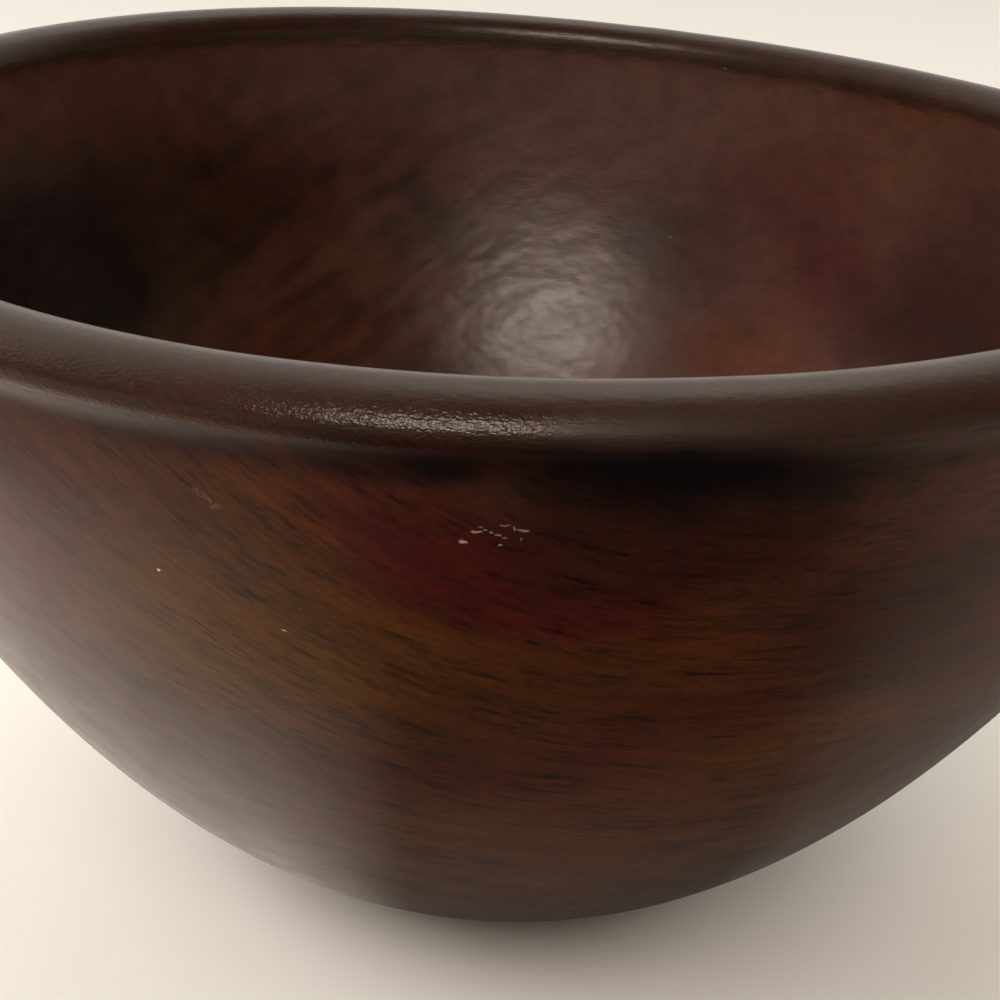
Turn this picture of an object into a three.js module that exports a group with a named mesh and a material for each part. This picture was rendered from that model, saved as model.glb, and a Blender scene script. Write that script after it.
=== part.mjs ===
// Wooden salad bowl, turned from one blank.
// A deep round-bottomed wall stands on a low foot ring and ends in a thick rolled rim,
// whose lip overhangs the wall with a soft cove under it. The mouth has the slight saddle
// that a turned bowl takes while its wood dries. There is one piece and nothing moves.
// Millimetres, +Z up, origin in the middle of the foot, on the plane that it rests on.

import * as THREE from "three";

// Overall sizes
const bowlDiameter = 305; // across the lip, its widest place
const bowlHeight = 159; // from the table to the crest of the rim, before the saddle

// Foot
const footDiameter = 97;
const footHeight = 4; // up to where the wall springs from it
const footRingWidth = 10;
const footEdge = 0.8; // bevel of the ring's two lower edges
const footCove = 2.3; // hollow rounding between foot and wall
const recessDepth = 2.2; // of the hollowed underside, inside the ring
const recessSlope = 1.5; // how far the recess narrows on its way up
const floorThickness = 12; // in the middle, over the recess

// Wall
const wallThickness = 11.9; // right under the rim
const wallStartAngle = 21; // degrees, slope of the outside where it leaves the foot

// Rim
const crestInnerRound = 6; // from the crest into the bowl
const lipRound = 3.5; // outer lower corner of the rolled rim
const lipJoinAngle = 30; // degrees, bearing where the rim's broad roll meets the lip
const lipUndercutAngle = 40; // degrees, how far the lip turns under itself
const lipCove = 8; // hollow rounding under the lip

// Saddle of the mouth
const rimWarpHeight = 2; // up on one diagonal, down on the other
const warpBearing = -41; // degrees from +X, the diagonal that rises

// How round the walls are, for each side
const outsideRiseExponent = 1.49;
const outsideReachExponent = 1.39;
const insideRiseExponent = 1.45;
const insideReachExponent = 2.78;

// Facets
const aroundSteps = 64;
const wallSteps = 12;
const roundSteps = 3;
const rollSteps = 4;

const rad = THREE.MathUtils.degToRad;
const point = (reach, height) => new THREE.Vector2(reach, height);

// Points of an arc in the section, where x is the reach from the axis and y the height.
// The bearings are in degrees, 0 outwards and 90 up.
function arc(centre, radius, from, to, steps) {
  return Array.from({ length: steps + 1 }, (_, i) => {
    const bearing = rad(from + ((to - from) * i) / steps);
    return point(
      centre.x + radius * Math.cos(bearing),
      centre.y + radius * Math.sin(bearing),
    );
  });
}

// Points of a wall from its low end to its high end, where it stands upright.
// At the share t of the rise, the share of the reach is (1 - (1 - t)^rise)^(1 / reach).
function wall(low, high, rise, reach, steps) {
  return Array.from({ length: steps + 1 }, (_, i) => {
    const t = 1 - Math.cos((Math.PI / 2) * (i / steps));
    const share = (1 - (1 - t) ** rise) ** (1 / reach);
    return point(
      low.x + (high.x - low.x) * share,
      low.y + (high.y - low.y) * t,
    );
  });
}

// The section of the bowl, from the middle of its underside round to the middle of its floor.
function section() {
  const footRadius = footDiameter / 2;
  const ringInnerRadius = footRadius - footRingWidth;
  const lipBearing = rad(lipUndercutAngle);

  // The lip and its cove set how far the wall lies inside the widest place.
  const lipX = bowlDiameter / 2 - lipRound;
  const wallTopRadius =
    bowlDiameter / 2 - (lipRound + lipCove) * (1 - Math.cos(lipBearing));
  const mouthRadius = wallTopRadius - wallThickness;

  // The broad roll runs from the crest to the lip and meets both without a corner.
  const crestX = mouthRadius + crestInnerRound;
  const rollRound = lipRound + (lipX - crestX) / Math.cos(rad(lipJoinAngle));
  const roll = point(crestX, bowlHeight - rollRound);
  const lip = point(
    lipX,
    roll.y + (rollRound - lipRound) * Math.sin(rad(lipJoinAngle)),
  );
  const cove = point(
    lip.x + (lipRound + lipCove) * Math.cos(lipBearing),
    lip.y - (lipRound + lipCove) * Math.sin(lipBearing),
  );
  const crestInner = point(crestX, bowlHeight - crestInnerRound);

  // The foot's cove turns from the upright side of the ring to the slope of the wall.
  const springAngle = 90 - wallStartAngle;
  const footCoveCentre = point(
    footRadius + footCove,
    footHeight - footCove * Math.sin(rad(springAngle)),
  );
  const spring = point(
    footCoveCentre.x - footCove * Math.cos(rad(springAngle)),
    footHeight,
  );

  const floor = point(0, recessDepth + floorThickness);
  const wallTop = point(wallTopRadius, cove.y);
  const mouth = point(mouthRadius, crestInner.y);
  const inside = wall(
    floor,
    mouth,
    insideRiseExponent,
    insideReachExponent,
    wallSteps,
  );

  return [
    point(0, recessDepth),
    point(ringInnerRadius - recessSlope, recessDepth),
    ...arc(point(ringInnerRadius + footEdge, footEdge), footEdge, 180, 270, 1),
    ...arc(point(footRadius - footEdge, footEdge), footEdge, 270, 360, 1),
    ...arc(footCoveCentre, footCove, 180, 180 - springAngle, roundSteps),
    ...wall(
      spring,
      wallTop,
      outsideRiseExponent,
      outsideReachExponent,
      wallSteps,
    ).slice(1),
    ...arc(cove, lipCove, 180, 180 - lipUndercutAngle, roundSteps).slice(1),
    ...arc(lip, lipRound, -lipUndercutAngle, lipJoinAngle, roundSteps).slice(1),
    ...arc(roll, rollRound, lipJoinAngle, 90, rollSteps).slice(1),
    ...arc(crestInner, crestInnerRound, 90, 180, roundSteps).slice(1),
    ...inside.reverse().slice(1),
  ];
}

// Bends the mouth into a saddle. The lift grows evenly from the top of the foot to
// the crest, and with the square of the reach: up along the warp's bearing and down
// across it, so the foot stays flat.
function saddle(geometry) {
  const places = geometry.getAttribute("position");
  const bearing = rad(warpBearing);
  const reach = bowlDiameter / 2;
  for (let i = 0; i < places.count; i++) {
    const [x, y, z] = [places.getX(i), places.getY(i), places.getZ(i)];
    const along = (x * Math.cos(bearing) + y * Math.sin(bearing)) / reach;
    const across = (y * Math.cos(bearing) - x * Math.sin(bearing)) / reach;
    const height = Math.max(0, (z - footHeight) / (bowlHeight - footHeight));
    places.setZ(i, z + rimWarpHeight * height * (along ** 2 - across ** 2));
  }
  geometry.computeVertexNormals();
}

// The wood: dark red brown under a satin lacquer.
function stainedWood() {
  return new THREE.MeshStandardMaterial({
    color: 0x54271a,
    roughness: 0.42,
    metalness: 0,
  });
}

function bowlBody() {
  const geometry = new THREE.LatheGeometry(section(), aroundSteps);
  geometry.rotateX(Math.PI / 2);
  saddle(geometry);
  const mesh = new THREE.Mesh(geometry, stainedWood());
  mesh.name = "bowl_body";
  return mesh;
}

const bowl = new THREE.Group();
bowl.add(bowlBody());

export default bowl;
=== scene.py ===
"""A deep wooden salad bowl, turned from one blank and stained dark red brown under a satin lacquer.

The bowl is one surface of revolution with a slight saddle in its mouth. Its grain is worked out in
growth space: each point's distance from the pith of the log, its way round the pith and its way along it.
Metres, +Z up, origin in the middle of the foot.
"""

import math

import bpy
import numpy as np
from bpy.props import FloatProperty, FloatVectorProperty, IntProperty, PointerProperty
from mathutils import Matrix, Vector


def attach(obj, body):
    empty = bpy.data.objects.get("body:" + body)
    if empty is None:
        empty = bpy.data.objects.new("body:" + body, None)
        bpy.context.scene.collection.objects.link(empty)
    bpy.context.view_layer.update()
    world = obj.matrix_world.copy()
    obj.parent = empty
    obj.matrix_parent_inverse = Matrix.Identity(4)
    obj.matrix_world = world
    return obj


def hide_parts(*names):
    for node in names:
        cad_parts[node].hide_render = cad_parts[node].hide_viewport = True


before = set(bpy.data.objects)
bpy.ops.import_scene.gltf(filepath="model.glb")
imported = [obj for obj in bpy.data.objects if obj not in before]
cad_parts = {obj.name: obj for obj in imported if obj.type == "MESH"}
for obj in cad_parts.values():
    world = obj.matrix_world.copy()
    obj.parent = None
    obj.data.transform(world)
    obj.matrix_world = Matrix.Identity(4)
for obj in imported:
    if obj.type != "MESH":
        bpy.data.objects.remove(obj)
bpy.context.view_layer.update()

bl_info = {
    "name": "Turned salad bowl",
    "version": (1, 0, 0),
    "blender": (4, 5, 0),
    "location": "3D View > Sidebar > Bowl",
    "description": "Makes a turned wooden salad bowl with a rolled rim, and a plain stage for it",
    "category": "Add Mesh",
}

BODY_NODE = "bowl_body"
MM = 0.001


def mm(*values):
    """A tuple in metres from values in millimetres."""
    return tuple(value * MM for value in values)


def length(name, description, default):
    """A size in metres, written here in millimetres."""
    return FloatProperty(
        name=name, description=description, default=default * MM, min=0, precision=4,
        subtype="DISTANCE", unit="LENGTH",
    )


def angle(name, description, default):
    """An angle, written here in degrees."""
    return FloatProperty(
        name=name, description=description, default=math.radians(default), subtype="ANGLE", unit="ROTATION",
    )


def colour(name, description, default):
    """A colour of the finish, in linear red, green and blue."""
    return FloatVectorProperty(
        name=name, description=description, default=default, size=3, min=0, max=1, subtype="COLOR",
    )


def number(name, description, default):
    return FloatProperty(name=name, description=description, default=default)


class BowlShape(bpy.types.PropertyGroup):
    """Sizes of the turned bowl."""

    diameter: length("Diameter", "Across the lip, its widest place", 305)
    height: length("Height", "From the table to the crest of the rim, before the saddle", 159)
    foot_diameter: length("Foot diameter", "Across the foot ring", 97)
    foot_height: length("Foot height", "Up to where the wall springs from the foot", 4)
    foot_ring_width: length("Foot ring width", "Width of the ring that the bowl stands on", 10)
    foot_edge: length("Foot edge", "Rounding of the ring's two lower edges", 0.8)
    foot_cove: length("Foot cove", "Hollow rounding between foot and wall", 2.3)
    recess_depth: length("Recess depth", "Depth of the hollowed underside", 2.2)
    recess_slope: length("Recess slope", "How far the recess narrows on its way up", 1.5)
    floor_thickness: length("Floor thickness", "In the middle, over the recess", 12)
    wall_thickness: length("Wall thickness", "Right under the rim", 11.9)
    wall_start: angle("Wall start", "Slope of the outside where it leaves the foot", 21)
    crest_round: length("Crest rounding", "From the crest into the bowl", 6)
    lip_round: length("Lip rounding", "Outer lower corner of the rolled rim", 3.5)
    lip_join: angle("Lip join", "Bearing where the rim's broad roll meets the lip", 30)
    lip_undercut: angle("Lip undercut", "How far the lip turns under itself", 40)
    lip_cove: length("Lip cove", "Hollow rounding under the lip", 8)
    saddle: length("Saddle", "Rise of the mouth on one diagonal, and its fall on the other", 2)
    saddle_bearing: angle("Saddle bearing", "The diagonal that rises, from +X", -41)
    outside_rise: number("Outside rise", "Rise exponent of the outside wall", 1.49)
    outside_reach: number("Outside reach", "Reach exponent of the outside wall", 1.39)
    inside_rise: number("Inside rise", "Rise exponent of the inside wall", 1.45)
    inside_reach: number("Inside reach", "Reach exponent of the inside wall", 2.78)
    columns: IntProperty(name="Columns", description="Facets round the bowl", default=420, min=24)
    unevenness: length("Unevenness", "Depth of the slow hand-turned waves in the surface", 0.16)
    ripple: length("Ripple", "Depth of the ripples across the curly figure inside", 0.07)
    ripple_pitch: length("Ripple pitch", "From one ripple to the next", 7)


class BowlFinish(bpy.types.PropertyGroup):
    """Colours of the stain, and the lie of the log's growth rings in the blank."""

    brown: colour("Brown", "The stain on even wood", (0.058, 0.0140, 0.0006))
    golden: colour("Golden", "Where the stain is thin and the wood shows", (0.074, 0.0255, 0.0015))
    orange: colour("Orange", "The brightest heartwood, inside", (0.078, 0.0150, 0.0003))
    red: colour("Red", "The redder heartwood", (0.044, 0.0015, 0.0001))
    # Dusky and black also serve as painted shade: under the lip and on the left and right of the inside wall
    dusky: colour("Dusky", "Where the stain is dark", (0.017, 0.0012, 0.0003))
    black: colour("Black", "Where the stain has pooled", (0.003, 0.0005, 0.0002))
    # Dull grey lacquer inside; where its clouds stand in the lamp's glow they are a painted highlight
    haze_and_painted_glow: colour("Haze", "Where the lacquer inside has turned dull and grey", (0.095, 0.0450, 0.0340))
    worn: colour("Worn", "The rim, rubbed by hands", (0.022, 0.0062, 0.0013))
    bare: colour("Bare wood", "Where the lacquer and the stain are chipped", (0.72, 0.60, 0.44))
    pith_x: length("Pith across", "The log's pith, from the middle of the bowl to the right", 49)
    pith_z: length("Pith height", "The log's pith over the table", 272)
    ring: length("Ring width", "From one growth ring to the next", 3.4)
    fibre: length("Fibre width", "Width of the fine streaks in the grain", 0.85)
    roughness: number("Roughness", "Of the satin lacquer", 0.30)


class BowlStage(bpy.types.PropertyGroup):
    """The plain table, the light and the camera."""

    table: colour("Table", "Colour of the plain floor", (0.80, 0.76, 0.70))
    pale: colour("Pale", "Colour of the floor as the camera sees it", (0.99, 0.97, 0.91))
    far: colour("Far", "The same, far behind the bowl", (0.87, 0.85, 0.805))
    key: number("Key", "Watts of the broad lamp at the left", 34.5)
    side: number("Side", "Watts of the soft lamp at the right", 9)
    fill: number("Fill", "Watts of the soft lamp above the camera", 10)
    glow: number("Glow", "Watts of the lamp above the camera that only glosses show", 14)
    shine: number("Table in glosses", "Brightness added where the table is lit in reflections", 0.25)
    right: number("Table at the right", "Share of the table's brightness in reflections at the right", 0.3)
    behind: number("Light from behind", "Level of the soft light behind the bowl", 1.1)
    ceiling: number("Light overhead", "Level added in a soft patch overhead", 0.95)
    front: number("Light from the front", "Level of the soft light from the camera's side", 0.08)
    low_front: number("Low light from the front", "Level of the low light in front and at the sides", 0.35)
    lens: FloatProperty(name="Lens", description="Focal length over a 36 mm sensor", default=72)


# How many steps each stretch of the section takes
STEPS = {
    "recess": 10, "ring edge": 3, "foot cove": 5, "outside": 92, "lip cove": 6, "lip": 8, "roll": 12,
    "crest": 8, "inside": 82,
}

# Bands round the rim, in millimetres under the crest: where each mask is 0 and where it is full
RIM_INSIDE, RIM_OUTSIDE = (12, 4), (9, 5.5)
LIP_BELOW, LIP_ABOVE = (10, 8), (1, 3)
# Band of the cove under the lip, where the stain gets a painted shade
COVE_BELOW, COVE_ABOVE = (18, 12), (7, 9)

# Pitch in millimetres of each smooth random field in the surface, and how many plane waves make it
BROAD_WAVES, FINE_WAVES = (46, 24), (21, 24)
BEND_WAVES, WANDER_WAVES, PATCH_WAVES = (60, 16), (17, 16), (34, 16)
SEED = 12

# The slow unevenness: shares of its two fields
BROAD_SHARE, FINE_SHARE = 0.5, 0.22

# The ripples of the curly figure: the way across them, how far they bend and wander, and where they fade.
# In millimetres: how they set in from the right to the left, from the floor up and from the rim down.
CLIMB = (-0.53, 0, 0.85)
BEND_TURN, WANDER_TURN = 1.98, 0.9
PATCH_EDGES = (-0.9, 0.7)
FIGURE_SIDE, FIGURE_LOW, FIGURE_HIGH = (70, -20), (35, 80), (152, 135)

# In millimetres: how far out from the foot the surface is still true, and how deep it sinks at least
FOOT_FADE, LEAST_SINK = 12, 0.01

# Corners of the mesh that are sharper than this stay sharp
SHARP = math.radians(40)


def arc(centre, radius, start, end, steps):
    """Points of an arc: centre + radius (cos t, sin t), for bearings t from start to end in even steps."""
    t = np.linspace(start, end, steps + 1)
    return np.stack((centre[0] + radius * np.cos(t), centre[1] + radius * np.sin(t)), 1)


def wall(low, high, rise, reach, steps):
    """Points of a wall from low to high, where it stands upright.

    The share of the height is t = 1 - cos(90° s) for s in even steps from 0 to 1, and there the share of
    the reach is (1 - (1 - t)^rise)^(1 / reach).
    """
    t = 1 - np.cos(np.linspace(0, math.pi / 2, steps + 1))
    share = (1 - (1 - t) ** rise) ** (1 / reach)
    return np.stack((low[0] + (high[0] - low[0]) * share, low[1] + (high[1] - low[1]) * t), 1)


def section(s):
    """(reach, height) round the bowl, from the middle of its underside to the middle of its floor.

    The foot ring, a cove, the outside wall, the cove under the lip, the lip, the broad roll up to the
    crest, the rounding into the mouth and the inside wall follow each other tangent to tangent.
    The second result is the number of the first point inside, past the crest.
    """
    foot, ring = s.foot_diameter / 2, s.foot_diameter / 2 - s.foot_ring_width
    lip_x = s.diameter / 2 - s.lip_round
    wall_top = s.diameter / 2 - (s.lip_round + s.lip_cove) * (1 - math.cos(s.lip_undercut))
    mouth = wall_top - s.wall_thickness
    crest_x = mouth + s.crest_round
    roll_round = s.lip_round + (lip_x - crest_x) / math.cos(s.lip_join)
    roll = (crest_x, s.height - roll_round)
    lip = (lip_x, roll[1] + (roll_round - s.lip_round) * math.sin(s.lip_join))
    cove = (
        lip[0] + (s.lip_round + s.lip_cove) * math.cos(s.lip_undercut),
        lip[1] - (s.lip_round + s.lip_cove) * math.sin(s.lip_undercut),
    )
    crest = (crest_x, s.height - s.crest_round)
    quarter, half = math.pi / 2, math.pi
    spring_turn = quarter - s.wall_start
    foot_cove = (foot + s.foot_cove, s.foot_height - s.foot_cove * math.sin(spring_turn))
    spring = (foot_cove[0] - s.foot_cove * math.cos(spring_turn), s.foot_height)
    ceiling = s.recess_depth
    recess_edge = ring - s.recess_slope

    under = np.linspace((0, ceiling), (recess_edge, ceiling), STEPS["recess"] + 1)
    outside = np.concatenate((
        under,
        arc((ring + s.foot_edge, s.foot_edge), s.foot_edge, half, half + quarter, STEPS["ring edge"]),
        arc((foot - s.foot_edge, s.foot_edge), s.foot_edge, half + quarter, 2 * half, STEPS["ring edge"]),
        arc(foot_cove, s.foot_cove, half, half - spring_turn, STEPS["foot cove"]),
        wall(spring, (wall_top, cove[1]), s.outside_rise, s.outside_reach, STEPS["outside"])[1:],
        arc(cove, s.lip_cove, half, half - s.lip_undercut, STEPS["lip cove"])[1:],
        arc(lip, s.lip_round, -s.lip_undercut, s.lip_join, STEPS["lip"])[1:],
        arc(roll, roll_round, s.lip_join, quarter, STEPS["roll"])[1:],
    ))
    floor = (0, ceiling + s.floor_thickness)
    inner = wall(floor, (mouth, crest[1]), s.inside_rise, s.inside_reach, STEPS["inside"])
    crest_arc = arc(crest, s.crest_round, quarter, half, STEPS["crest"])
    inside = np.concatenate((crest_arc[1:], inner[::-1][1:]))
    return np.concatenate((outside, inside)), len(outside)


def waves(places, rng, field):
    """A smooth random field: the mean of count plane waves sin(k · p + phase), with |k| = 2 pi / pitch.

    It is scaled by the root of half the count, so that its spread stays about 1/2 whatever the count.
    """
    pitch, count = field
    way = rng.normal(size=(count, 3))
    way *= 2 * math.pi / (pitch * MM) / np.linalg.norm(way, axis=1)[:, None]
    phase = rng.uniform(0, 2 * math.pi, count)
    return np.sin(places @ way.T + phase).mean(-1) * math.sqrt(count / 2)


def step(value, low, high):
    """0 before low, 1 past high and the smooth 3 t² - 2 t³ between them. Low may be the larger one."""
    t = np.clip((value - low) / (high - low), 0, 1)
    return t * t * (3 - 2 * t)


def bowl_surface(s):
    """Places of the bowl's grid, rows along the section and columns round it.

    A point of the section at (reach, height) stands at (reach cos a, reach sin a, height) for the angles
    a of the columns. The saddle adds saddle · h · (along² - across²), where h is the share of the height
    over the foot, and along and across are the horizontal place over the radius, turned by the bearing.
    Then the surface sinks along its normal by the slow waves of a hand-turned wall and, on the curly
    figure inside, by plane waves that climb to the right. It never stands proud of the true section.
    The second result gives the masks "inside", "rim", "lip" and "cove" for each row.
    """
    rows, first_inside = section(s)
    a = np.arange(s.columns) * (2 * math.pi / s.columns) - math.pi / 2
    reach, height = rows[:, :1], rows[:, 1:]
    places = np.stack(np.broadcast_arrays(reach * np.cos(a), reach * np.sin(a), height), -1).copy()

    turn = a - s.saddle_bearing
    share = np.maximum(0, (height - s.foot_height) / (s.height - s.foot_height))
    places[..., 2] += s.saddle * share * (reach / (s.diameter / 2)) ** 2 * np.cos(2 * turn)

    round_way = np.roll(places, -1, 1) - np.roll(places, 1, 1)
    normal = np.cross(round_way, np.gradient(places, axis=0))
    size = np.linalg.norm(normal, axis=-1, keepdims=True)
    normal = np.divide(normal, size, out=np.zeros_like(normal), where=size > 0)

    rng = np.random.default_rng(SEED)
    broad = waves(places, rng, BROAD_WAVES) * BROAD_SHARE
    slow = (1 + broad + waves(places, rng, FINE_WAVES) * FINE_SHARE) / 2
    bend = waves(places, rng, BEND_WAVES) * BEND_TURN
    wander = waves(places, rng, WANDER_WAVES) * WANDER_TURN
    crossing = places @ np.array(CLIMB) * (2 * math.pi / s.ripple_pitch)
    ripples = (1 + np.sin(crossing + bend + wander)) / 2
    figure = step(waves(places, rng, PATCH_WAVES), *PATCH_EDGES)
    x, z = places[..., 0] / MM, places[..., 2] / MM
    figure *= step(x, *FIGURE_SIDE) * step(z, *FIGURE_LOW) * step(z, *FIGURE_HIGH)
    is_inside = (np.arange(len(rows)) >= first_inside)[:, None]
    foot = s.foot_diameter / 2
    clear = step(reach, foot, foot + FOOT_FADE * MM)
    sink = s.unevenness * slow * clear + s.ripple * ripples * figure * is_inside

    depth = (s.height - height) / MM
    masks = {
        "inside": is_inside.astype(float),
        "rim": np.where(is_inside, step(depth, *RIM_INSIDE), step(depth, *RIM_OUTSIDE)),
        "lip": np.where(is_inside, 0, step(depth, *LIP_BELOW) * step(depth, *LIP_ABOVE)),
        # The cove under the lip, where the stain gets a painted shade
        "cove": np.where(is_inside, 0, step(depth, *COVE_BELOW) * step(depth, *COVE_ABOVE)),
    }
    return places - normal * np.maximum(sink, LEAST_SINK * MM * clear)[..., None], masks


def grid_mesh(name, places, masks):
    """A closed mesh from a grid of places, whose first and last row are single points on the axis.

    Each mask has one value for each row, and becomes an attribute of the points.
    """
    rows, columns = places.shape[:2]
    points = np.concatenate((places[:1, 0], places[1:-1].reshape(-1, 3), places[-1:, 0]))
    here = np.arange(columns)
    beside = (here + 1) % columns
    low = 1 + np.arange(rows - 3)[:, None] * columns
    quads = np.stack(
        np.broadcast_arrays(low + here, low + beside, low + columns + beside, low + columns + here), -1
    )
    last = len(points) - 1
    first_fan = np.stack((np.zeros(columns, int), 1 + beside, 1 + here), 1)
    top = last - columns
    last_fan = np.stack((np.full(columns, last), top + here, top + beside), 1)
    mesh = bpy.data.meshes.new(name)
    faces = first_fan.tolist() + quads.reshape(-1, 4).tolist() + last_fan.tolist()
    mesh.from_pydata(points.tolist(), [], faces)
    mesh.polygons.foreach_set("use_smooth", np.ones(len(mesh.polygons), bool))
    mesh.set_sharp_from_angle(angle=SHARP)
    for key, mask in masks.items():
        values = np.concatenate((mask[:1, 0], np.repeat(mask[1:-1, 0], columns), mask[-1:, 0]))
        mesh.attributes.new(key, "FLOAT", "POINT").data.foreach_set("value", values.astype(np.float32))
    mesh.validate()
    mesh.update()
    return mesh


class Nodes:
    """Adds nodes to a tree and joins them. A socket is fed a number, a tuple or another socket."""

    def __init__(self, tree):
        self.tree = tree

    def feed(self, socket, value):
        if isinstance(value, bpy.types.NodeSocket):
            self.tree.links.new(value, socket)
        else:
            socket.default_value = value

    def add(self, kind, inputs=None, **settings):
        node = self.tree.nodes.new(kind if kind.startswith("Node") else "ShaderNode" + kind)
        for key, value in settings.items():
            setattr(node, key, value)
        for key, value in (inputs or {}).items():
            self.feed(node.inputs[key], value)
        return node

    def math(self, operation, *values):
        node = self.add("Math", operation=operation)
        for socket, value in zip(node.inputs, values):
            self.feed(socket, value)
        return node.outputs[0]

    def times(self, first, *others):
        """The product of the values."""
        for value in others:
            first = self.math("MULTIPLY", first, value)
        return first

    def plus(self, total, value, amount=1.0):
        """The total with amount times the value added."""
        return self.math("MULTIPLY_ADD", value, amount, total)

    def vector(self, operation, *values):
        node = self.add("VectorMath", operation=operation)
        for socket, value in zip(node.inputs, values):
            self.feed(socket, value)
        return node.outputs["Value" if operation in ("LENGTH", "DOT_PRODUCT") else "Vector"]

    def scale(self, vector, factor):
        return self.add("VectorMath", {0: vector, "Scale": factor}, operation="SCALE").outputs["Vector"]

    def part(self, vector, axis):
        return self.add("SeparateXYZ", {"Vector": vector}).outputs[axis]

    def mix(self, share, first, second):
        """The first colour, going over to the second by the share."""
        node = self.add("Mix", data_type="RGBA", clamp_factor=True)
        for key, value in ((0, share), (6, first), (7, second)):
            self.feed(node.inputs[key], (*value, 1) if isinstance(value, tuple) else value)
        return node.outputs[2]

    def spread(self, value, low, high, to_low=0.0, to_high=1.0):
        """A smooth step of the value from low to high."""
        node = self.add(
            "MapRange",
            {"Value": value, "From Min": low, "From Max": high, "To Min": to_low, "To Max": to_high},
            interpolation_type="SMOOTHSTEP",
        )
        return node.outputs["Result"]

    def noise(self, place, cell, detail=2.0, roughness=0.5, distortion=0.0):
        """Soft noise around 0.5. The cell is its size in metres along each axis of the place's space."""
        scaled = self.vector("DIVIDE", place, cell)
        look = {"Detail": detail, "Roughness": roughness, "Distortion": distortion}
        return self.add("TexNoise", {"Vector": scaled, "Scale": 1.0, **look}).outputs["Fac"]


def new_group(name, inputs, outputs):
    """A shader node group with its inputs as (name, kind, default) and its outputs as (name, kind)."""
    tree = bpy.data.node_groups.new(name, "ShaderNodeTree")
    for label, kind, default in inputs:
        socket = tree.interface.new_socket(label, in_out="INPUT", socket_type="NodeSocket" + kind)
        socket.default_value = default
    for label, kind in outputs:
        tree.interface.new_socket(label, in_out="OUTPUT", socket_type="NodeSocket" + kind)
    nodes = Nodes(tree)
    return nodes, nodes.add("NodeGroupInput").outputs, nodes.add("NodeGroupOutput").inputs


# The log: noise waves in a metre where it bends, and the radius in metres at which the way round the pith
# is measured
LOG_BENDS, ARC_RADIUS = 16.0, 0.15

# Middle of a noise's colour
MIDDLE = (0.5, 0.5, 0.5)


def growth_space():
    """The place in the log: (distance from the pith, way round it as an arc, way along it).

    The pith runs along Y. A slow noise bends the place first, because no log is a true cylinder.
    """
    n, given, out = new_group(
        "Growth Space",
        [("Place", "Vector", (0, 0, 0)), ("Pith", "Vector", (0, 0, 0)), ("Bend", "Float", 0.006)],
        [("Grain", "Vector")],
    )
    bend = n.add("TexNoise", {"Vector": given["Place"], "Scale": LOG_BENDS, "Detail": 1.0}).outputs["Color"]
    shift = n.scale(n.vector("SUBTRACT", bend, MIDDLE), given["Bend"])
    from_pith = n.vector("SUBTRACT", n.vector("ADD", given["Place"], shift), given["Pith"])
    x, y, z = n.add("SeparateXYZ", {"Vector": from_pith}).outputs
    radius = n.math("SQRT", n.math("ADD", n.math("POWER", x, 2.0), n.math("POWER", z, 2.0)))
    turn = n.times(n.math("ARCTAN2", x, n.times(z, -1.0)), ARC_RADIUS)
    n.feed(out["Grain"], n.add("CombineXYZ", {"X": radius, "Y": turn, "Z": y}).outputs[0])
    return n.tree


# Cells of the grain's noises in growth space, in millimetres: outwards, round the pith and along it.
# The rings and the streaks get their width from the finish.
RING_RUN, STREAK_RUN = (50, 120), (7, 20)
FLECK_CELL, STREAK_PATCH_CELL, PORE_CELL = (0.7, 1.9, 4), (6, 18, 50), (0.9, 9, 12)

# Where each noise is 0 and where it is full
EDGES = {
    "rings": (0.3, 0.7), "streaks": (0.42, 0.70), "streak patches": (0.36, 0.62), "flecks": (0.25, 0.75),
    "pores": (0.62, 0.72), "rim": (0.25, 0.75), "tint": (0.36, 0.66), "redness": (0.42, 0.62),
    "curl": (0.3, 0.7), "grit": (0.3, 0.55),
}

# Strength of the streaks between their patches
LEAST_STREAK = 0.35


def wood_grain():
    """Growth rings, streaks that come in patches, flecks and open pores, from a place in growth space.

    Each is a share from 0 to 1.
    """
    n, given, out = new_group(
        "Wood Grain",
        [("Grain", "Vector", (0, 0, 0)), ("Ring", "Float", 0.0034), ("Fibre", "Float", 0.0011)],
        [("Rings", "Float"), ("Streaks", "Float"), ("Flecks", "Float"), ("Pores", "Float")],
    )
    place = given["Grain"]

    def cell(width, run):
        around, along = mm(*run)
        return n.add("CombineXYZ", {"X": width, "Y": around, "Z": along}).outputs[0]

    rings = n.noise(place, cell(given["Ring"], RING_RUN), 1.5)
    n.feed(out["Rings"], n.spread(rings, *EDGES["rings"]))
    streaks = n.noise(place, cell(given["Fibre"], STREAK_RUN), 2.0, 0.6, 0.25)
    strong = n.noise(place, mm(*STREAK_PATCH_CELL), 1.0)
    strong = n.spread(strong, *EDGES["streak patches"], LEAST_STREAK, 1.0)
    n.feed(out["Streaks"], n.times(n.spread(streaks, *EDGES["streaks"]), strong))
    flecks = n.noise(place, mm(*FLECK_CELL), 2.0, 0.65)
    n.feed(out["Flecks"], n.spread(flecks, *EDGES["flecks"]))
    pores = n.noise(place, mm(*PORE_CELL), 1.0, 0.4)
    n.feed(out["Pores"], n.spread(pores, *EDGES["pores"]))
    return n.tree


# A cloud's ragged edge: the cell of its noise in millimetres, and the shares of the radii at which the
# cloud is 0 and full
RAG_CELL, CLOUD_EDGE = (20, 20, 20), (1.0, 0.25)


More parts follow.
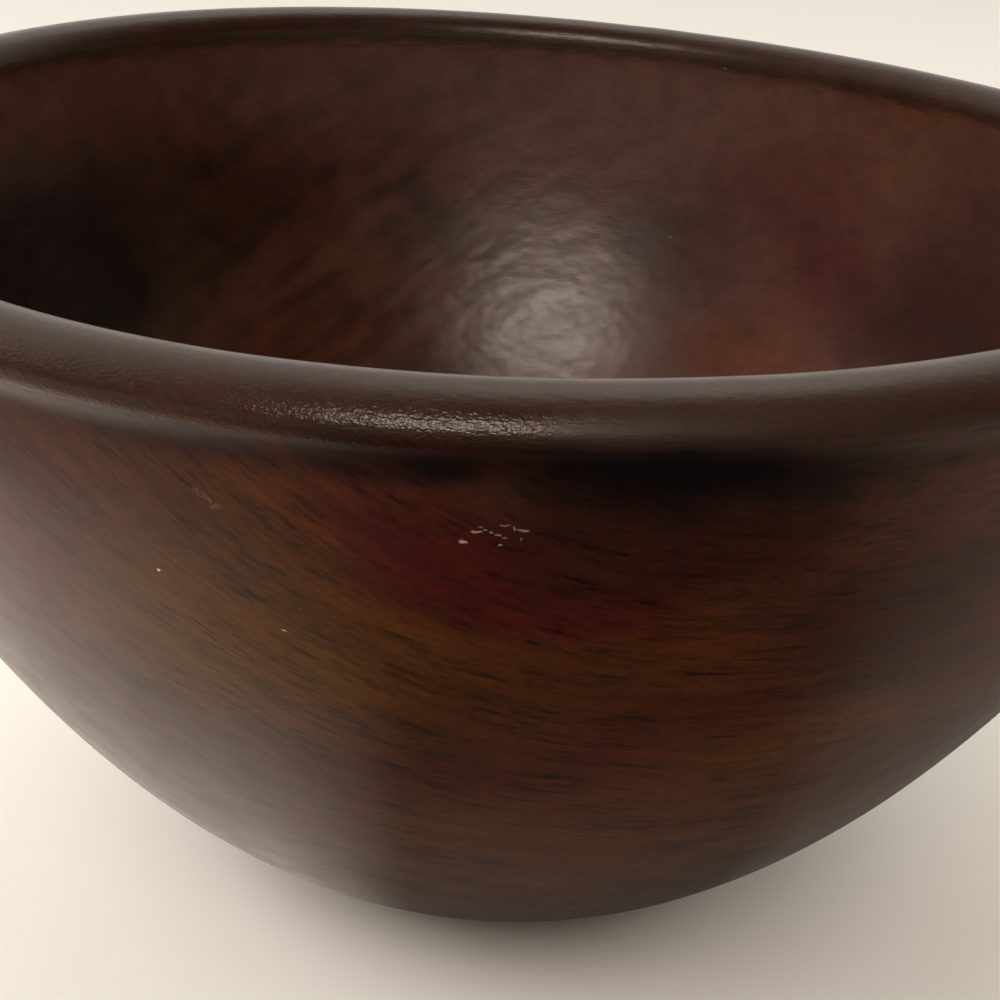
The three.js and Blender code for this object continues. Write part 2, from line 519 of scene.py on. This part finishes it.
def soft_patch():
    """A cloud with a soft edge: 1 at its centre, 0 past its radii, ragged by noise."""
    n, given, out = new_group(
        "Soft Patch",
        [
            ("Place", "Vector", (0, 0, 0)), ("Centre", "Vector", (0, 0, 0)), ("Radii", "Vector", (1, 1, 1)),
            ("Ragged", "Float", 0.5),
        ],
        [("Mask", "Float")],
    )
    from_centre = n.vector("SUBTRACT", given["Place"], given["Centre"])
    away = n.vector("LENGTH", n.vector("DIVIDE", from_centre, given["Radii"]))
    rough = n.math("SUBTRACT", n.noise(given["Place"], mm(*RAG_CELL), 3.0, 0.55), 0.5)
    n.feed(out["Mask"], n.spread(n.plus(away, rough, given["Ragged"]), *CLOUD_EDGE))
    return n.tree


# Cells of the noises in the finish, in millimetres. The tint's are in growth space.
CELLS = {
    "fray": (10, 10, 2), "tint": (14, 45, 100), "redness": (60, 60, 45), "curl": (22, 30, 6.2),
    "lumps": (7, 7, 7), "grit": (0.6, 0.6, 0.4), "skin": (2.4, 2.4, 0.5), "dimples": (0.7, 0.7, 0.4),
    "billow": (6.5, 6.5, 5), "mottle": (9, 9, 6),
}

# How far each effect changes the colour: shares of a mix, then shares of the light that it adds or takes
# The cove's share is a painted shade under the lip
MIXES = {"red": 0.5, "tint": 0.3, "cove": 0.55, "haze_and_painted_glow": 0.28, "rim": 0.85}
SHADES = {
    "rings": -0.30, "streaks": -0.56, "pores": -0.40, "flecks": -0.45, "flecks inside": 0.25, "curl": 0.6,
    "lumps": 0.9,
}
LINES_LIFT = 0.30
DARKEST = 0.05

# How much of the rings, streaks and pores the haze inside and the worn rim hide
HIDDEN = {"inside": -0.85, "rim": -0.7}

# Relief of the lacquer, in millimetres
RELIEF = {
    "streaks": -0.008, "skin": 0.014, "skin on the rim": 0.04, "dimples": 0.11, "mottle": 0.09,
    "mottle inside": 0.03, "curl": 0.05, "billow": 0.24, "chips": -0.05,
}

# What each effect adds to the roughness. Under the least roughness the denoiser draws flat blotches.
ROUGHNESS = {"even": -0.07, "mottle": 0.16, "pits": -0.04, "worn lip": 0.18, "hazy side": 0.05, "chips": 0.3}
LEAST_ROUGHNESS = 0.285

# Where the lip goes over from pitted to rubbed dull, and where the inside grows hazy, in millimetres from
# the middle to the right
WORN_SIDE, HAZY_SIDE = (-2, 14), (20, 40)
LEAST_PITTED = 0.25

# How the worn rim frays: the level that it is cut at and the share of its noise
FRAY_CUT, FRAY = 0.45, 0.9

# Middle and radii in millimetres of the curly figure and of the wavy lacquer inside, and how ragged they are
CURLY, CURLY_RAGGED = ((-45, 112, 100), (95, 60, 62)), 0.8
WAVY, WAVY_RAGGED = ((6, 116, 84), (46, 40, 32)), 0.3
CLOUD_RAGGED = 0.6

# The shake in a chip's outline: its noise's waves in a metre and its size in millimetres. A chip fades
# between these shares of its radii, and the grit leaves at least this much of it.
SHAKE_WAVES, SHAKE = 900.0, (1.2, 1.2, 0.7)
CHIP_EDGE, LEAST_GRIT = (1.15, 0.55), 0.25


def stain(n, f, patch, masks, tint, redness):
    """Colour of the stain: brown with redder and darker stretches, clouds, a worn rim and painted shade in
    the cove under the lip. Some clouds are painted shade or a painted highlight.
    """

    def clouded(base, clouds):
        for centre, radii, name, share in clouds:
            base = n.mix(n.times(patch(centre, radii), share), base, tuple(getattr(f, name)))
        return base

    base = n.mix(n.times(redness, MIXES["red"]), tuple(f.brown), tuple(f.red))
    base = n.mix(n.times(tint, MIXES["tint"]), base, tuple(f.dusky))
    # Painted shade in the cove under the lip
    outer = n.mix(n.times(masks["cove"], MIXES["cove"]), base, tuple(f.dusky))
    inner = n.mix(MIXES["haze_and_painted_glow"], base, tuple(f.haze_and_painted_glow))
    base = n.mix(masks["inside"], clouded(outer, OUTSIDE_CLOUDS), clouded(inner, INSIDE_CLOUDS))
    return n.mix(n.times(masks["rim"], MIXES["rim"]), base, tuple(f.worn))


def chipped(n, place, grit):
    """A mask of the chips: each is a small spot with a shaken outline, broken up by grit."""
    wobble = n.add("TexNoise", {"Vector": place, "Scale": SHAKE_WAVES, "Detail": 1.0}).outputs["Color"]
    shaken = n.vector("MULTIPLY", n.vector("SUBTRACT", wobble, MIDDLE), mm(*SHAKE))
    shaken = n.vector("ADD", place, shaken)
    chips = 0.0
    for centre, radii, share in FLECKS:
        away = n.vector("DIVIDE", n.vector("SUBTRACT", shaken, mm(*centre)), mm(*radii))
        chips = n.math("MAXIMUM", chips, n.spread(n.vector("LENGTH", away), *CHIP_EDGE, 0.0, share))
    return n.times(chips, n.spread(grit, *EDGES["grit"], LEAST_GRIT, 1.0))


def wood_material(f):
    """Stained wood under a satin lacquer.

    Clouds of stain lie over the even brown, and some clouds and the cove under the lip carry painted shade
    or a painted highlight. Rings, streaks, flecks and pores in growth space darken it, the curly figure
    inside lights it in bands, the rim is worn and a few chips show the bare wood.
    The same values drive colour, roughness and bump.
    """
    material = bpy.data.materials.new("stained_lacquered_wood")
    material.use_nodes = True
    material.node_tree.nodes.clear()
    n = Nodes(material.node_tree)
    place = n.add("TexCoord").outputs["Object"]
    growth = n.add("Group", {"Place": place, "Pith": (f.pith_x, 0, f.pith_z)}, node_tree=growth_space())
    growth = growth.outputs["Grain"]
    grain = {"Grain": growth, "Ring": f.ring, "Fibre": f.fibre}
    grain = n.add("Group", grain, node_tree=wood_grain()).outputs
    patch_tree = soft_patch()

    def noise(key, *look, at=place):
        return n.noise(at, mm(*CELLS[key]), *look)

    def patch(centre, radii, ragged=CLOUD_RAGGED):
        values = {"Place": place, "Centre": mm(*centre), "Radii": mm(*radii), "Ragged": ragged}
        return n.add("Group", values, node_tree=patch_tree).outputs["Mask"]

    masks = {}
    for key in ("inside", "rim", "lip", "cove"):
        masks[key] = n.add("Attribute", attribute_name=key).outputs["Fac"]
    inside, lip = masks["inside"], masks["lip"]
    frayed = n.plus(n.math("SUBTRACT", masks["rim"], FRAY_CUT), noise("fray", 2.0), FRAY)
    rim = masks["rim"] = n.spread(frayed, *EDGES["rim"])

    tint = n.spread(noise("tint", 3.0, at=growth), *EDGES["tint"])
    redness = n.spread(noise("redness", 2.0), *EDGES["redness"])
    base = stain(n, f, patch, masks, tint, redness)

    turned = n.add("VectorRotate", {"Vector": place, "Angle": CURL_SLOPE}, rotation_type="Y_AXIS").outputs[0]
    curl = n.spread(noise("curl", 1.0, 0.4, 0.5, at=turned), *EDGES["curl"])
    curl = n.math("SUBTRACT", curl, 0.5)
    curl = n.times(curl, inside, patch(*CURLY, CURLY_RAGGED))
    clear = n.times(n.plus(1.0, inside, HIDDEN["inside"]), n.plus(1.0, rim, HIDDEN["rim"]))
    lines = n.plus(LINES_LIFT, grain["Rings"], SHADES["rings"])
    lines = n.plus(lines, grain["Streaks"], SHADES["streaks"])
    lines = n.plus(lines, grain["Pores"], SHADES["pores"])
    flecks = n.times(
        n.math("SUBTRACT", grain["Flecks"], 0.5), n.plus(SHADES["flecks"], inside, SHADES["flecks inside"])
    )
    shade = n.plus(n.plus(1.0, flecks), lines, clear)
    shade = n.plus(shade, curl, SHADES["curl"])
    lumps = n.math("SUBTRACT", noise("lumps", 2.0, 0.6), 0.5)
    shade = n.plus(shade, n.times(lumps, inside), SHADES["lumps"])
    base = n.scale(base, n.math("MAXIMUM", shade, DARKEST))
    chips = chipped(n, place, noise("grit", 1.0))
    base = n.mix(chips, base, tuple(f.bare))

    across = n.part(place, "X")
    worn_side = n.spread(across, *mm(*WORN_SIDE))
    pitted = n.times(lip, n.plus(1.0, worn_side, LEAST_PITTED - 1))
    mottle = noise("mottle", 3.0)
    rough = n.plus(f.roughness + ROUGHNESS["even"], mottle, ROUGHNESS["mottle"])
    rough = n.math("MAXIMUM", n.plus(rough, pitted, ROUGHNESS["pits"]), LEAST_ROUGHNESS)
    rough = n.plus(rough, n.times(worn_side, lip), ROUGHNESS["worn lip"])
    rough = n.plus(rough, n.times(n.spread(across, *mm(*HAZY_SIDE)), inside), ROUGHNESS["hazy side"])
    rough = n.plus(rough, chips, ROUGHNESS["chips"])

    billow = n.times(noise("billow", 1.0), inside, patch(*WAVY, WAVY_RAGGED))
    height = n.times(grain["Streaks"], clear, RELIEF["streaks"])
    height = n.plus(height, noise("skin", 2.0), n.plus(RELIEF["skin"], rim, RELIEF["skin on the rim"]))
    height = n.plus(height, n.times(noise("dimples", 1.0), pitted), RELIEF["dimples"])
    height = n.plus(height, mottle, n.plus(RELIEF["mottle"], inside, RELIEF["mottle inside"]))
    for value, name in ((curl, "curl"), (billow, "billow"), (chips, "chips")):
        height = n.plus(height, value, RELIEF[name])
    bump = n.add("Bump", {"Height": height, "Distance": MM, "Strength": 1.0})

    shader = n.add("BsdfPrincipled", {
        "Base Color": base, "Roughness": rough, "Normal": bump.outputs[0], "IOR": 1.5,
        "Specular IOR Level": 0.42,
    })
    n.feed(n.add("OutputMaterial").inputs["Surface"], shader.outputs[0])
    return material


# How steeply the bands of the curly figure climb
CURL_SLOPE = math.radians(32)

# Clouds in the stain, some of them painted shade or a painted highlight: middle and radii in millimetres,
# the finish colour and its share
OUTSIDE_CLOUDS = (
    ((-40, -130, 108), (40, 50, 30), "golden", 0.85),
    ((5, -100, 62), (85, 70, 30), "golden", 0.5),
    ((50, -120, 92), (34, 40, 16), "golden", 0.4),
    ((-8, -147, 131), (22, 30, 14), "red", 0.9),
    ((8, -145, 123), (26, 30, 10), "red", 0.8),
    ((-22, -147, 139), (14, 30, 7), "red", 0.5),
    ((18, -148, 140), (26, 30, 9), "dusky", 0.85),
    ((30, -145, 132), (26, 30, 9), "dusky", 0.7),
    ((12, -147, 131), (18, 30, 10), "dusky", 0.45),
    ((58, -130, 120), (34, 40, 26), "black", 0.35),
    ((42, -143, 139), (28, 30, 10), "dusky", 0.7),
    # Pooled stain and painted shade in the cove under the lip
    ((-20, -149, 147), (16, 30, 5), "dusky", 0.9),
    ((-52, -141, 147), (28, 30, 5), "dusky", 0.8),
    ((-5, -150, 151), (46, 30, 4), "dusky", 0.9),
    ((26, -147, 147), (46, 30, 9), "black", 1.0),
    ((-9, -150, 147), (8, 30, 3.4), "black", 0.9),
)
INSIDE_CLOUDS = (
    ((0, 132, 142), (110, 60, 30), "haze_and_painted_glow", 0.3),
    ((-29, 125, 111), (32, 34, 18), "haze_and_painted_glow", 0.4),
    ((-54, 100, 79), (34, 34, 14), "orange", 0.5),
    # Painted highlight, with one painted dark spot, in the lamp's glow on the far inside wall
    ((-10, 113, 78), (18, 30, 12), "haze_and_painted_glow", 0.55),
    ((8, 117, 85), (6, 12, 6), "haze_and_painted_glow", 0.55),
    ((0, 113, 77), (8, 12, 9), "haze_and_painted_glow", 0.35),
    ((25, 111, 77), (9, 12, 6), "haze_and_painted_glow", 0.5),
    ((14, 113, 79), (4, 10, 8), "dusky", 0.5),
    ((-30, 126, 118), (24, 30, 16), "red", 0.35),
    ((42, 117, 100), (30, 34, 22), "haze_and_painted_glow", 0.15),
    ((38, 119, 102), (28, 30, 26), "dusky", 0.6),
    ((72, 111, 120), (32, 34, 24), "red", 0.35),
    ((83, 95, 103), (18, 30, 15), "red", 0.5),
    ((88, 92, 96), (44, 50, 30), "red", 0.55),
    ((62, 101, 80), (34, 44, 15), "orange", 0.95),
    ((74, 98, 92), (18, 30, 13), "orange", 0.3),
    # Painted shade on the right and on the left of the inside wall
    ((106, 66, 98), (46, 50, 24), "dusky", 0.7),
    ((114, 70, 112), (34, 50, 42), "dusky", 0.6),
    ((-73, 106, 113), (42, 40, 28), "dusky", 0.5),
    ((-112, 56, 106), (66, 80, 44), "black", 0.95),
)

# Flecks where the finish is chipped or rubbed: middle and radii in millimetres, and how bare they are
FLECKS = (
    ((-6.4, -148.3, 135.0), (0.6, 2, 0.35), 0.34),
    ((-4.6, -148.8, 136.9), (0.9, 2, 0.22), 0.30),
    ((-4.1, -148.9, 137.7), (0.4, 2, 0.20), 0.16),
    ((-3.2, -148.8, 137.3), (0.5, 2, 0.22), 0.20),
    ((-2.3, -148.8, 136.9), (0.5, 2, 0.24), 0.24),
    ((-1.4, -148.7, 136.5), (0.5, 2, 0.22), 0.20),
    ((-0.5, -148.7, 136.2), (0.4, 2, 0.20), 0.14),
    ((-0.6, -149.0, 138.3), (1.0, 2, 0.17), 0.16),
    ((0.8, -149.0, 137.8), (0.25, 2, 0.5), 0.16),
    ((2.0, -148.9, 137.6), (0.9, 2, 0.25), 0.26),
    ((-0.9, -148.4, 134.8), (0.3, 2, 0.25), 0.32),
    ((1.9, -148.6, 136.0), (0.3, 2, 0.22), 0.18),
    ((-52.8, -135.0, 121.2), (0.36, 2, 0.32), 1.0),
    ((-33.4, -138.4, 113.9), (0.6, 2, 0.22), 0.40),
    ((-32.6, -138.6, 113.6), (0.9, 2, 0.12), 0.14),
    ((-30.6, -140.8, 118.7), (0.25, 2, 0.22), 0.20),
    ((-45.8, -141.9, 137.9), (0.9, 2, 0.5), 0.045),
    ((-44.9, -142.0, 137.2), (0.9, 2, 0.5), 0.06),
    ((-44.0, -142.2, 136.5), (0.9, 2, 0.5), 0.07),
    ((-43.1, -142.3, 135.6), (0.9, 2, 0.6), 0.07),
    ((50.6, 128.2, 150.6), (0.6, 2, 0.3), 0.14),
    ((39.3, 120.7, 105.6), (0.7, 2, 0.35), 0.10),
)


# Ways to the left and to the right over the table, a little towards the camera
LEFT_WAY, RIGHT_WAY = (-0.985, -0.174, 0), (0.985, -0.174, 0)

# The table in reflections: its colour where it is shaded and where it is lit
SHADED, LIT = (0.02, 0.02, 0.02), (1.0, 0.93, 0.84)

# Distances from the bowl's axis in metres over which the table turns from a painted shade close to the bowl
# to pale, then duller far behind the bowl, and over which it glows a little with painted light, all as the
# camera sees it
PALE_BAND, FAR_BAND = (0.055, 0.08), (0.25, 0.8)
GLOW_BAND, TABLE_GLOW = (0.065, 0.105), 0.07


def table_material(s):
    """The plain pale table. In reflections it is bright at the left, behind and at the right, and shaded
    at the front.

    Each zone is a share of the way from the bowl's axis times a share of the distance from it, in metres.
    Seen from below the table is clear, so that the foot shows.
    """
    material = bpy.data.materials.new("pale_table")
    material.use_nodes = True
    material.node_tree.nodes.clear()
    n = Nodes(material.node_tree)
    path = n.add("LightPath").outputs
    place = n.add("TexCoord").outputs["Object"]
    way = n.vector("NORMALIZE", n.vector("MULTIPLY", place, (1, 1, 0)))
    reach = n.vector("LENGTH", place)

    def side(direction, low, high, power):
        """0 where the way is far from the direction, 1 where it is close to it."""
        close = {"Value": n.vector("DOT_PRODUCT", way, direction), "From Min": low, "From Max": high}
        return n.math("POWER", n.add("MapRange", close).outputs["Result"], power)

    by_belly = n.times(side(LEFT_WAY, 0.35, 0.75, 1.0), n.spread(reach, 0.18, 0.13))
    left = n.times(side(LEFT_WAY, 0.3, 0.9, 2.0), n.spread(reach, 0.22, 0.32, 1.0, 0.45))
    right = n.times(side(RIGHT_WAY, 0.65, 0.9, 2.0), s.right)
    back = n.spread(n.part(place, "Y"), -0.02, 0.1)
    by_foot = n.spread(reach, 0.18, 0.06, 0.0, 0.2)
    lit = n.math("MAXIMUM", n.math("MAXIMUM", left, by_belly), right)
    lit = n.math("MAXIMUM", lit, n.math("MAXIMUM", back, by_foot))

    # Painted shade on the table close to the bowl, as the camera sees it
    seen = n.mix(0.5, tuple(s.table), tuple(s.pale))
    seen = n.mix(n.spread(reach, *PALE_BAND), seen, tuple(s.pale))
    seen = n.mix(n.spread(reach, *FAR_BAND), seen, tuple(s.far))
    seen = n.mix(path["Is Camera Ray"], tuple(s.table), seen)
    seen = n.mix(path["Is Glossy Ray"], seen, n.mix(lit, SHADED, LIT))
    glow = n.times(path["Is Glossy Ray"], lit, s.shine)
    # Painted light on the table round the bowl, as the camera sees it
    glow = n.plus(glow, path["Is Camera Ray"], n.spread(reach, *GLOW_BAND, 0.0, TABLE_GLOW))
    shader = n.add("BsdfPrincipled", {
        "Base Color": seen, "Roughness": 0.7, "Specular IOR Level": 0.2,
        "Emission Color": (1.0, 0.95, 0.88, 1), "Emission Strength": glow,
    })
    clear = n.add("BsdfTransparent")
    from_below = n.times(n.add("NewGeometry").outputs["Backfacing"], path["Is Camera Ray"])
    both = n.add("MixShader", {0: from_below, 1: shader.outputs[0], 2: clear.outputs[0]})
    n.feed(n.add("OutputMaterial").inputs["Surface"], both.outputs[0])
    return material


# Where the lamps look: the middle of the bowl
AIM = (0, 0, 0.1)


def aim(obj, place, target):
    """Puts a lamp at a place and turns its -Z towards the target."""
    obj.location = place
    obj.rotation_euler = (Vector(target) - Vector(place)).to_track_quat("-Z", "Y").to_euler()


def lamp(name, size, watts, place, tint):
    """A soft lamp of a width and height in metres, aimed at the bowl."""
    light = bpy.data.lights.new(name, "AREA")
    light.shape = "RECTANGLE"
    light.size, light.size_y = size
    light.energy = watts
    light.color = tint
    obj = bpy.data.objects.new(name, light)
    bpy.context.scene.collection.objects.link(obj)
    aim(obj, place, AIM)
    return obj


# The backdrop that the camera sees, as pale as the table far behind the bowl
BACKDROP = (0.84, 0.79, 0.71, 1)

# The room: where it is brightest all round and overhead, and the colour of its light
BEHIND_WAY, OVERHEAD_WAY = (-0.35, 0.94, 0), (0.1, 0.45, 0.887)
ROOM_LIGHT = (1.0, 0.95, 0.85, 1)

# How much darker the room is low down in front
LOW_SHADE = -0.85

# Edges of the room's zones, in the share of its two ways and in the direction's height Z and way back Y
BEHIND_EDGES, OVERHEAD_EDGES = (-0.35, 0.6), (0.94, 0.985)
LOW_Z, LOW_Y = (0.6, 0.25), (0.35, 0.0)
AHEAD_Z, AHEAD_Y = (0.35, 0.1), (-0.3, -0.7)
SKIRTING_Z, SKIRTING_Y = (0.2, 0.04), (0.4, 0.1)


def set_world(s):
    """Soft warm light from behind and overhead, and little from the camera's side.

    Each zone is a smooth step of the direction, and the levels of the zones are added. The camera sees a
    plain pale backdrop.
    """
    world = bpy.data.worlds.new("Studio")
    bpy.context.scene.world = world
    world.use_nodes = True
    world.node_tree.nodes.clear()
    n = Nodes(world.node_tree)
    way = n.add("TexCoord").outputs["Generated"]
    y, z = n.part(way, "Y"), n.part(way, "Z")
    around = n.spread(n.vector("DOT_PRODUCT", way, BEHIND_WAY), *BEHIND_EDGES, s.front, s.behind)
    low = n.times(n.spread(z, *LOW_Z), n.spread(y, *LOW_Y))
    around = n.times(around, n.plus(1.0, low, LOW_SHADE))
    ahead = n.times(n.spread(z, *AHEAD_Z), n.spread(y, *AHEAD_Y))
    around = n.plus(around, ahead, s.low_front)
    skirting = n.times(n.spread(z, *SKIRTING_Z), n.spread(y, *SKIRTING_Y))
    around = n.plus(around, skirting, s.low_front)
    overhead = n.spread(n.vector("DOT_PRODUCT", way, OVERHEAD_WAY), *OVERHEAD_EDGES)
    around = n.plus(around, overhead, s.ceiling)
    level = n.add("Background", {"Color": ROOM_LIGHT, "Strength": around}).outputs[0]
    seen = n.add("Background", {"Color": BACKDROP, "Strength": 1.0}).outputs[0]
    both = n.add("MixShader", {0: n.add("LightPath").outputs["Is Camera Ray"], 1: level, 2: seen})
    n.feed(n.add("OutputWorld").inputs["Surface"], both.outputs[0])


# The camera's stand in metres, and its pitch down, yaw and roll in radians
CAMERA_STAND = (0, -0.4086, 0.2554)
PITCH, YAW, ROLL = 0.4111, -0.0056, 0.0557
SENSOR = 36


def set_camera(s):
    """The camera at the photograph's viewing angle: 23.6° down, close in front of the bowl."""
    ahead = Vector((math.sin(YAW) * math.cos(PITCH), math.cos(YAW) * math.cos(PITCH), -math.sin(PITCH)))
    level = Vector((math.cos(YAW), -math.sin(YAW), 0))
    upright = level.cross(ahead)
    right = math.cos(ROLL) * level + math.sin(ROLL) * upright
    up = math.cos(ROLL) * upright - math.sin(ROLL) * level
    data = bpy.data.cameras.new("Camera")
    data.lens, data.sensor_width = s.lens, SENSOR
    data.clip_start, data.clip_end = 0.01, 50
    camera = bpy.data.objects.new("Camera", data)
    bpy.context.scene.collection.objects.link(camera)
    turn = Matrix((right, up, -ahead)).transposed().to_4x4()
    camera.matrix_world = Matrix.Translation(CAMERA_STAND) @ turn
    bpy.context.scene.camera = camera


# Half the side of the square table, in metres
TABLE_HALF = 4.0


class BOWL_OT_turn(bpy.types.Operator):
    """Turn the bowl: foot, wall, floor and rolled rim in one piece of stained wood"""

    bl_idname = "bowl.turn"
    bl_label = "Turn the bowl"

    def execute(self, context):
        mesh = grid_mesh("turned_bowl", *bowl_surface(context.scene.bowl_shape))
        bowl = bpy.data.objects.new("turned_bowl", mesh)
        context.scene.collection.objects.link(bowl)
        bowl.data.materials.append(wood_material(context.scene.bowl_finish))
        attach(bowl, "root")
        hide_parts(BODY_NODE)
        return {"FINISHED"}


class BOWL_OT_set_stage(bpy.types.Operator):
    """Set the plain pale table, the soft light and the camera"""

    bl_idname = "bowl.set_stage"
    bl_label = "Set the stage"

    def execute(self, context):
        stage = context.scene.bowl_stage
        mesh = bpy.data.meshes.new("table")
        corners = [(x * TABLE_HALF, y * TABLE_HALF, 0) for x, y in ((-1, -1), (1, -1), (1, 1), (-1, 1))]
        mesh.from_pydata(corners, [], [(0, 1, 2, 3)])
        mesh.materials.append(table_material(stage))
        table = bpy.data.objects.new("table", mesh)
        context.scene.collection.objects.link(table)
        for soft in (
            lamp("Key", (1.6, 1.2), stage.key, (-1.74, -0.47, 1.3), (1, 0.97, 0.93)),
            lamp("Side", (1.2, 0.8), stage.side, (1.7, 0.3, 0.9), (1, 0.95, 0.88)),
            lamp("Fill", (1.2, 0.8), stage.fill, (-0.1, -1.5, 1.27), (1, 0.84, 0.70)),
        ):
            soft.visible_glossy = False
        glow = lamp("Glow", (0.84, 0.24), stage.glow, (-0.23, -1.48, 1.33), (1, 0.88, 0.76))
        glow.visible_diffuse = False
        set_world(stage)
        set_camera(stage)
        context.scene.view_settings.view_transform = "Standard"
        return {"FINISHED"}


class BOWL_PT_panel(bpy.types.Panel):
    """The bowl's sizes, finish and stage"""

    bl_idname = "BOWL_PT_panel"
    bl_label = "Turned salad bowl"
    bl_space_type = "VIEW_3D"
    bl_region_type = "UI"
    bl_category = "Bowl"

    def draw(self, context):
        for settings, operator in (
            (context.scene.bowl_shape, BOWL_OT_turn.bl_idname),
            (context.scene.bowl_finish, BOWL_OT_turn.bl_idname),
            (context.scene.bowl_stage, BOWL_OT_set_stage.bl_idname),
        ):
            box = self.layout.box()
            for key in settings.__annotations__:
                box.prop(settings, key)
            box.operator(operator)


CLASSES = (BowlShape, BowlFinish, BowlStage, BOWL_OT_turn, BOWL_OT_set_stage, BOWL_PT_panel)


def register():
    for item in CLASSES:
        bpy.utils.register_class(item)
    bpy.types.Scene.bowl_shape = PointerProperty(type=BowlShape)
    bpy.types.Scene.bowl_finish = PointerProperty(type=BowlFinish)
    bpy.types.Scene.bowl_stage = PointerProperty(type=BowlStage)


def unregister():
    for key in ("bowl_shape", "bowl_finish", "bowl_stage"):
        delattr(bpy.types.Scene, key)
    for item in reversed(CLASSES):
        bpy.utils.unregister_class(item)


def main():
    register()
    bpy.ops.bowl.turn()
    bpy.ops.bowl.set_stage()


if __name__ == "__main__":
    main()
